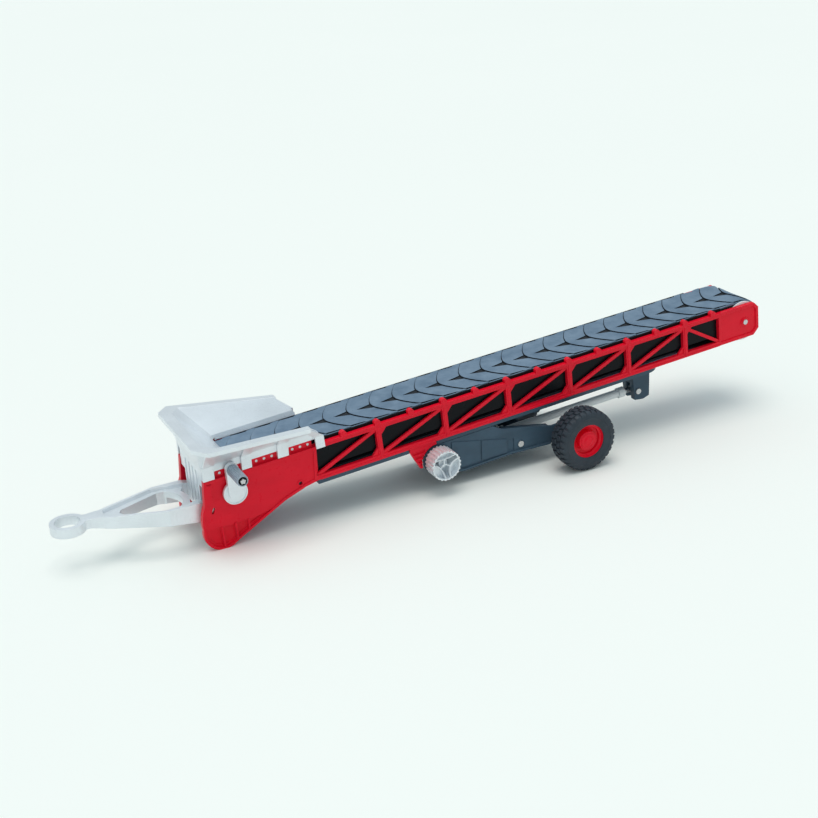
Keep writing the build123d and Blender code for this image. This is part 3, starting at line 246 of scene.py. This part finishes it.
# silver darkened for the crank's grip: painted shade and painted dark reflection
GRIP_SHADED_SILVER = (0.36, 0.43, 0.51)
BRIGHT_STEEL = (0.6, 0.61, 0.62)
# near black for the screw heads: painted shade of the holes they sit in
SCREW_PAINTED_SHADE = (0.10, 0.10, 0.11)

# one look for each material slot of the record
LOOKS = {
    "red_plastic": moulded("red plastic", RED, RED_EDGE_HIGHLIGHT, 0.30, 0.04, gloss=0.18),
    "silver_plastic": silver("silver plastic", SILVER, 0.32, 0.42),
    "white_plastic": moulded("white plastic", WHITE, WHITE_EDGE_HIGHLIGHT, 0.36, 0.02),
    "slate_plastic": moulded("slate plastic", SLATE, SLATE_EDGE_HIGHLIGHT, 0.45, 0.10, gloss=0.25, grain_depth=0.03),
    "black_plastic": moulded("black plastic", BLACK, BLACK_EDGE_HIGHLIGHT, 0.30, 0.15, gloss=0.12),
    "belt_rubber": rubber("belt rubber", BELT_BLUE, BELT_BLOOM_AND_HIGHLIGHT, 0.50),
    "tyre_rubber": rubber("tyre rubber", TYRE_GREY, TYRE_BLOOM_AND_HIGHLIGHT, 0.58),
    "steel": steel("turned steel", BRIGHT_STEEL),
}
# looks of single nodes that differ from their slot's look as painted shade, and the painted shade of the
# belt's grooves
GRIP_SHADE_LOOK = silver("grip with painted shade", GRIP_SHADED_SILVER, 0.34, 0.55)
GROOVE_SHADE_LOOK = rubber("belt groove painted shade", GROOVE_PAINTED_SHADE, GROOVE_SHADE_BLOOM_AND_HIGHLIGHT, 0.70)
SCREW_SHADE_LOOK = steel("screw steel with painted shade", SCREW_PAINTED_SHADE)
OWN_LOOK = {"crank_grip": GRIP_SHADE_LOOK, "frame_screws": SCREW_SHADE_LOOK, "tray_screws": SCREW_SHADE_LOOK}

slots = {part["node"]: part["material_slot"] for part in frame["record"]["subparts"]}
for node_name, node in frame["nodes"].items():
    node.data.materials.clear()
    node.data.materials.append(OWN_LOOK.get(node_name, LOOKS[slots[node_name]]))


# ---------------------------------------------------------------- solids and pieces
def closed_slab(bm, top, bottom):
    """A closed solid between two equal grids of points. Returns its side faces by side:
    first column, last column, first row, last row."""
    rows = len(top)
    columns = len(top[0])
    up = [[bm.verts.new(p) for p in row] for row in top]
    down = [[bm.verts.new(p) for p in row] for row in bottom]
    for i in range(rows - 1):
        for j in range(columns - 1):
            bm.faces.new((up[i][j], up[i + 1][j], up[i + 1][j + 1], up[i][j + 1]))
            bm.faces.new((down[i][j], down[i][j + 1], down[i + 1][j + 1], down[i + 1][j]))
    inner, outer, first, last = [], [], [], []
    for i in range(rows - 1):
        inner.append(bm.faces.new((up[i][0], down[i][0], down[i + 1][0], up[i + 1][0])))
        outer.append(bm.faces.new((up[i][-1], up[i + 1][-1], down[i + 1][-1], down[i][-1])))
    for j in range(columns - 1):
        first.append(bm.faces.new((up[0][j], up[0][j + 1], down[0][j + 1], down[0][j])))
        last.append(bm.faces.new((up[-1][j], down[-1][j], down[-1][j + 1], up[-1][j + 1])))
    return inner, outer, first, last


def closed_ring(bm, sections, look=0):
    """A ring that runs through equal closed sections of points and back to the first."""
    loops = [[bm.verts.new(p) for p in section] for section in sections]
    for first, second in zip(loops, loops[1:] + loops[:1]):
        for j in range(len(first)):
            k = (j + 1) % len(first)
            bm.faces.new((first[j], second[j], second[k], first[k])).material_index = look


def finish_piece(name, bm, slot, body, second_look=None):
    """Turns a bmesh into a piece with its material, riding on a body."""
    bmesh.ops.remove_doubles(bm, verts=bm.verts, dist=1e-7)
    bmesh.ops.recalc_face_normals(bm, faces=bm.faces)
    mesh = bpy.data.meshes.new(name)
    bm.to_mesh(mesh)
    bm.free()
    mesh.materials.append(LOOKS[slot])
    if second_look:
        mesh.materials.append(second_look)
    piece = bpy.data.objects.new(name, mesh)
    bpy.context.scene.collection.objects.link(piece)
    mesh.shade_smooth()
    mesh.set_sharp_from_angle(angle=radians(32))
    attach(piece, body)
    return piece


# ---------------------------------------------------------------- the belt
BELT_R = 14.4 * MM        # inner radius round the rollers
BELT_T = 1.8 * MM
BELT_HALF = 23.4 * MM
BELT_BEVEL = 0.35 * MM
# corners of the return run, as (along, above) from the tail drum's axis
RETURN_RUN = ((RUN - 44.1 * MM, -12.9 * MM), (RUN - 64.1 * MM, -10.3 * MM), (60.0 * MM, -11.7 * MM))
TOP_STEPS = 180           # steps of the belt's path along the top
TURN_STEPS = 28           # round each roller
RETURN_STEP = 2.5 * MM    # and the length of one along the return run
RING_STEPS = 400          # steps of the band and the lips round the loop

TILE_PITCH = 19.3 * MM
TILE_GAP = 0.6 * MM       # open groove between one tile and the next
TILE_HIGH = 1.7 * MM      # height of a tile at its leading edge
TILE_LOW = 0.8 * MM       # and at its end, where the next one starts
TILE_CROWN = 0.12 * MM    # how far each half bulges
TILE_BEVEL = 0.18 * MM    # drop along a tile's edges
TILE_SUNK = 0.5 * MM      # how far a tile reaches into the band
TILE_FIRST = 8.2 * MM     # first tile's point, from the tail axis
TILE_LEAD = 12.0 * MM     # how far a tile's ends run ahead of its point
POINT_HALF = 1.6 * MM     # half width of the blunt point
BOW = 1.5                 # power of the bowed sides
HALF_INSET = 0.01 * MM    # from the middle line to a half tile
NOTCH_HALF = 3.6 * MM     # half width of the wedge notch at a tile's end
NOTCH_FROM = 0.36         # share of the tile before the notch begins

SLOT_END = 0.62           # share of the tile beside which the edge slot runs
SLOT_INSET = 1.5 * MM     # from the belt's edge to the tile, along the slot
EDGE_INSET = 0.05 * MM    # and behind the slot
EAR_HIGH = 0.55 * MM      # rise of a tile's outer corner behind the slot
EAR_FROM = 0.9            # share of the half width where it begins
EAR_ARCH = 1.4            # length of the rise's sine arch, in lengths of the part behind the slot
LIP_WIDTH = 0.9 * MM      # strip outside the slot
LIP_HIGH = 0.6 * MM
LIP_BEVEL = 0.2 * MM
LIP_SUNK = 0.4 * MM

# shares along and across a half tile at which its grid has points
ROWS = (0.0, 0.02, 0.1, 0.22, NOTCH_FROM, 0.48, SLOT_END - 0.01, SLOT_END + 0.01, 0.8, 0.92, 1.0)
COLUMNS = (0.0, 0.03, 0.08, 0.16, 0.26, 0.36, 0.48, 0.6, 0.72, 0.84, 0.93, 0.985, 1.0)


def belt_path():
    """Points along the belt's outer face, from above the tail drum and round, as (along, above)."""
    r = BELT_R + BELT_T
    turns = [pi * i / TURN_STEPS for i in range(1, TURN_STEPS + 1)]
    points = [(RUN * i / TOP_STEPS, r) for i in range(TOP_STEPS + 1)]
    points += [(RUN + r * sin(turn), r * cos(turn)) for turn in turns]
    for corner in (*RETURN_RUN, (0.0, -r)):
        start, stop = Vector(points[-1]), Vector(corner)
        steps = max(3, int((stop - start).length / RETURN_STEP))
        points += [tuple(start.lerp(stop, i / steps)) for i in range(1, steps + 1)]
    points += [(-r * sin(turn), -r * cos(turn)) for turn in turns[:-1]]
    return points


PATH = belt_path()
LENGTHS = [0.0]
for here, there in zip(PATH, PATH[1:] + PATH[:1]):
    LENGTHS.append(LENGTHS[-1] + (Vector(there) - Vector(here)).length)
LOOP = LENGTHS[-1]


def on_belt(s, y, h):
    """Point at length s round the loop, y across it and h above its outer face."""
    s = s % LOOP
    k = bisect_right(LENGTHS, s) - 1
    share = (s - LENGTHS[k]) / (LENGTHS[k + 1] - LENGTHS[k])
    before, start, stop, after = (Vector(PATH[(k + j) % len(PATH)]) for j in (-1, 0, 1, 2))
    tangent = (stop - before).normalized().lerp((after - start).normalized(), share).normalized()
    place = start.lerp(stop, share) + Vector((-tangent.y, tangent.x)) * h
    return TAIL + ALONG * place.x + ABOVE * place.y + Vector((0, y, 0))


def lead(y):
    """How far a tile's edge runs ahead at y: a chevron with a blunt point and bowed sides."""
    share = max(0.0, (abs(y) - POINT_HALF) / (BELT_HALF - POINT_HALF))
    return TILE_LEAD * share ** BOW


def half_tile(bm, start, pitch, side):
    """Half of one chevron tile: raised where it starts, falling to its end, notched along the middle."""
    top, bottom = [], []
    for p in ROWS:
        notch = max(0.0, (p - NOTCH_FROM) / (1 - NOTCH_FROM)) * NOTCH_HALF
        outside = BELT_HALF - (SLOT_INSET if p < SLOT_END else EDGE_INSET)
        up_row, low_row = [], []
        for q in COLUMNS:
            y = notch + HALF_INSET + (outside - notch) * q
            s = start + lead(y) + p * (pitch - TILE_GAP)
            h = TILE_HIGH + (TILE_LOW - TILE_HIGH) * p + TILE_CROWN * sin(pi * q)
            if p > SLOT_END and q > EAR_FROM:
                h += EAR_HIGH * sin(pi * (p - SLOT_END) / (1 - SLOT_END) / EAR_ARCH)
            if p == 0.0 or q == 1.0 or (q == 0.0 and notch > 0):
                h -= TILE_BEVEL
            up_row.append(on_belt(s, side * y, h))
            low_row.append(on_belt(s, side * y, -TILE_SUNK))
        top.append(up_row)
        bottom.append(low_row)
    inner, outer, first, last = closed_slab(bm, top, bottom)
    slot_rows = len([p for p in ROWS if p < SLOT_END])
    # side walls, slot walls and ends of the tile take the second look, the painted groove shade
    for face in inner + outer[:slot_rows] + first + last:
        face.material_index = 1


def belt_ring(bm, section, look):
    """A closed ring round the whole loop with the given section of (across, height) points."""
    stations = [LOOP * i / RING_STEPS for i in range(RING_STEPS)]
    closed_ring(bm, [[on_belt(s, y, h) for y, h in section] for s in stations], look)


def make_belt():
    """Belt band in the dark painted shade of the grooves, a lip along each edge, and a ring of chevron
    tiles.
    """
    bm = bmesh.new()
    near = [(BELT_HALF - BELT_BEVEL, 0.0), (BELT_HALF, -BELT_BEVEL),
            (BELT_HALF, -BELT_T + BELT_BEVEL), (BELT_HALF - BELT_BEVEL, -BELT_T)]
    # the band takes the second look, the painted groove shade
    belt_ring(bm, near + [(-y, h) for y, h in reversed(near)], 1)
    lip = ((0, -LIP_SUNK), (0, LIP_HIGH - LIP_BEVEL), (-LIP_BEVEL, LIP_HIGH),
           (-LIP_WIDTH, LIP_HIGH), (-LIP_WIDTH, -LIP_SUNK))
    for side in (-1, 1):
        belt_ring(bm, [(side * (BELT_HALF + y), h) for y, h in lip], 0)
    tiles = round(LOOP / TILE_PITCH)
    pitch = LOOP / tiles
    for i in range(tiles):
        for side in (-1, 1):
            half_tile(bm, TILE_FIRST + pitch * i, pitch, side)
    piece = finish_piece("chevron_belt", bm, "belt_rubber", "frame", GROOVE_SHADE_LOOK)
    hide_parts("belt")


make_belt()

# ---------------------------------------------------------------- tyres, in millimetres and radians
# half section of the carcass from bead to crown: (radius, distance from the middle plane)
CARCASS = ((15.25, 8.0), (13.4, 8.0), (13.5, 8.6), (14.2, 9.0), (16.5, 9.25), (18.9, 9.5), (19.1, 9.75),
           (19.5, 9.75), (19.7, 9.5), (21.0, 9.35), (22.0, 8.95), (22.8, 8.3), (23.25, 7.4), (23.5, 6.2),
           (23.55, 3.0))
CARCASS_STEPS = 120
BLOCKS = 30               # blocks round each row of the tread
BLOCK_PITCH = 2 * pi / BLOCKS
BLOCK_SKEW = 0.05         # turn from one side of a block to the other
BLOCK_BEVEL = 0.28        # drop along a block's edges
BLOCK_STEPS = (-1.0, -0.82, 0.82, 1.0)    # places round a block, in half lengths
# sections of a block as (distance from the middle plane, bottom radius, top radius)
INNER_BLOCK = ((0.35, 23.2, 24.7), (0.8, 23.2, 24.75), (3.6, 23.2, 24.7), (4.05, 23.2, 24.6))
OUTER_BLOCK = ((4.75, 23.2, 24.5), (5.2, 23.1, 24.6), (7.6, 22.6, 24.1), (8.75, 21.9, 23.1),
               (9.25, 21.4, 22.0))
INNER_HALF = BLOCK_PITCH * 0.36
OUTER_HALF = BLOCK_PITCH * 0.33
OUTER_SHIFT = 0.45        # of the outer row against the inner one, in pitches
SIDE_SHIFT = 0.5          # of one side's rows against the other's


def tyre_point(middle, angle, r, y):
    """Point at radius r, angle round the axle and y from the tyre's middle plane."""
    return middle + Vector((r * MM * cos(angle), y * MM, r * MM * sin(angle)))


def tread_block(bm, middle, angle, skew, section, half_angle):
    """One tread block round the given angle."""
    top, bottom = [], []
    for step in BLOCK_STEPS:
        up_row, low_row = [], []
        for k, (y, low, high) in enumerate(section):
            turn = angle + skew * k / (len(section) - 1) + half_angle * step
            drop = BLOCK_BEVEL if abs(step) == 1.0 or k in (0, len(section) - 1) else 0.0
            up_row.append(tyre_point(middle, turn, high - drop, y))
            low_row.append(tyre_point(middle, turn, low, y))
        top.append(up_row)
        bottom.append(low_row)
    closed_slab(bm, top, bottom)


def make_tyre(side):
    """Carcass with round shoulders and a ring on each wall, and four staggered rows of blocks."""
    node = f"tyre_{side}"
    middle = centre(node)
    bm = bmesh.new()
    section = [(r, -y) for r, y in CARCASS] + [(r, y) for r, y in reversed(CARCASS)]
    turns = [2 * pi * i / CARCASS_STEPS for i in range(CARCASS_STEPS)]
    closed_ring(bm, [[tyre_point(middle, turn, r, y) for r, y in section] for turn in turns])
    for i in range(BLOCKS):
        for flip, shift in ((-1, 0.0), (1, SIDE_SHIFT)):
            inner = [(y * flip, low, high) for y, low, high in INNER_BLOCK]
            outer = [(y * flip, low, high) for y, low, high in OUTER_BLOCK]
            place = BLOCK_PITCH * (i + shift)
            lagging = BLOCK_PITCH * (i + shift + OUTER_SHIFT)
            tread_block(bm, middle, place, BLOCK_SKEW * flip, inner, INNER_HALF)
            tread_block(bm, middle, lagging, -BLOCK_SKEW * flip, outer, OUTER_HALF)
    piece = finish_piece(f"tyre_tread_{side}", bm, "tyre_rubber", f"wheel_{side}")
    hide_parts(node)


make_tyre("near")
make_tyre("far")

# ---------------------------------------------------------------- floor, light and camera
FLOOR_SIZE = 80.0
FLOOR_DARK = (0.925, 0.950, 0.905)
FLOOR_PALE = (0.933, 0.956, 0.911)
SKY = (0.83, 0.94, 1.0, 1.0)
# room light: (sine of the height above the horizon, strength)
SKY_STEPS = ((0.0, 0.92), (0.04, 0.92), (0.10, 0.26), (1.0, 1.0))
LAMP_COLOUR = (1.0, 0.95, 0.89)
LAMP_POWER = 1.12
LAMP_WIDTH = radians(40)
LAMP_TURN = (radians(4), radians(-6), 0)
# the photograph's view: place, heading and elevation of the line of sight, and a slight roll
CAMERA_PLACE = Vector((-0.4254, -0.8732, 0.4660))
HEADING = radians(25.01)
ELEVATION = radians(22.88)
ROLL = radians(-3.21)
FOCAL_LENGTH = 60.46      # millimetres, as the sensor
SENSOR_WIDTH = 36.0


def make_floor():
    """Large pale floor with a little mottling."""
    look = Nodes("studio floor")
    cloud = look.noise(1.5, 3.0, 0.5)
    look.feed("Base Color", look.mix(look.spread(cloud, 0.0, 1.0), FLOOR_DARK, FLOOR_PALE))
    look.fix("Roughness", 0.8)
    look.fix("Specular IOR Level", 0.1)
    bpy.ops.mesh.primitive_plane_add(size=FLOOR_SIZE, location=(0, 0, 0))
    floor = bpy.context.object
    floor.name = "floor"
    floor.data.materials.append(look.material)


def make_room_light():
    """Soft light from all round, brightest overhead and as pale as the floor at the horizon."""
    world = bpy.data.worlds.new("studio")
    bpy.context.scene.world = world
    world.use_nodes = True
    tree = world.node_tree
    background = tree.nodes["Background"]
    background.inputs["Color"].default_value = SKY
    place = tree.nodes.new("ShaderNodeTexCoord")
    split = tree.nodes.new("ShaderNodeSeparateXYZ")
    ramp = tree.nodes.new("ShaderNodeValToRGB")
    tree.links.new(place.outputs["Generated"], split.inputs["Vector"])
    tree.links.new(split.outputs["Z"], ramp.inputs["Fac"])
    while len(ramp.color_ramp.elements) < len(SKY_STEPS):
        ramp.color_ramp.elements.new(0.5)
    for element, (height, strength) in zip(ramp.color_ramp.elements, SKY_STEPS):
        element.position = height
        element.color = (strength, strength, strength, 1.0)
    tree.links.new(ramp.outputs["Color"], background.inputs["Strength"])


def make_lamp():
    """One broad lamp overhead."""
    sun = bpy.data.lights.new("overhead", "SUN")
    sun.energy = LAMP_POWER
    sun.color = LAMP_COLOUR
    sun.angle = LAMP_WIDTH
    lamp = bpy.data.objects.new("overhead", sun)
    bpy.context.scene.collection.objects.link(lamp)
    lamp.rotation_euler = LAMP_TURN


def make_camera():
    """Camera with the photograph's view."""
    right = Vector((cos(HEADING), -sin(HEADING), 0))
    ahead = Vector((sin(HEADING) * cos(ELEVATION), cos(HEADING) * cos(ELEVATION), -sin(ELEVATION)))
    up = right.cross(ahead)
    rolled_right = right * cos(ROLL) + up * sin(ROLL)
    rolled_up = up * cos(ROLL) - right * sin(ROLL)
    lens = bpy.data.cameras.new("camera")
    lens.lens = FOCAL_LENGTH
    lens.sensor_width = SENSOR_WIDTH
    camera = bpy.data.objects.new("camera", lens)
    bpy.context.scene.collection.objects.link(camera)
    columns = Matrix((rolled_right, rolled_up, -ahead)).transposed()
    camera.matrix_world = Matrix.Translation(CAMERA_PLACE) @ columns.to_4x4()
    bpy.context.scene.camera = camera


make_floor()
make_room_light()
make_lamp()
make_camera()
bpy.context.scene.view_settings.view_transform = "Standard"
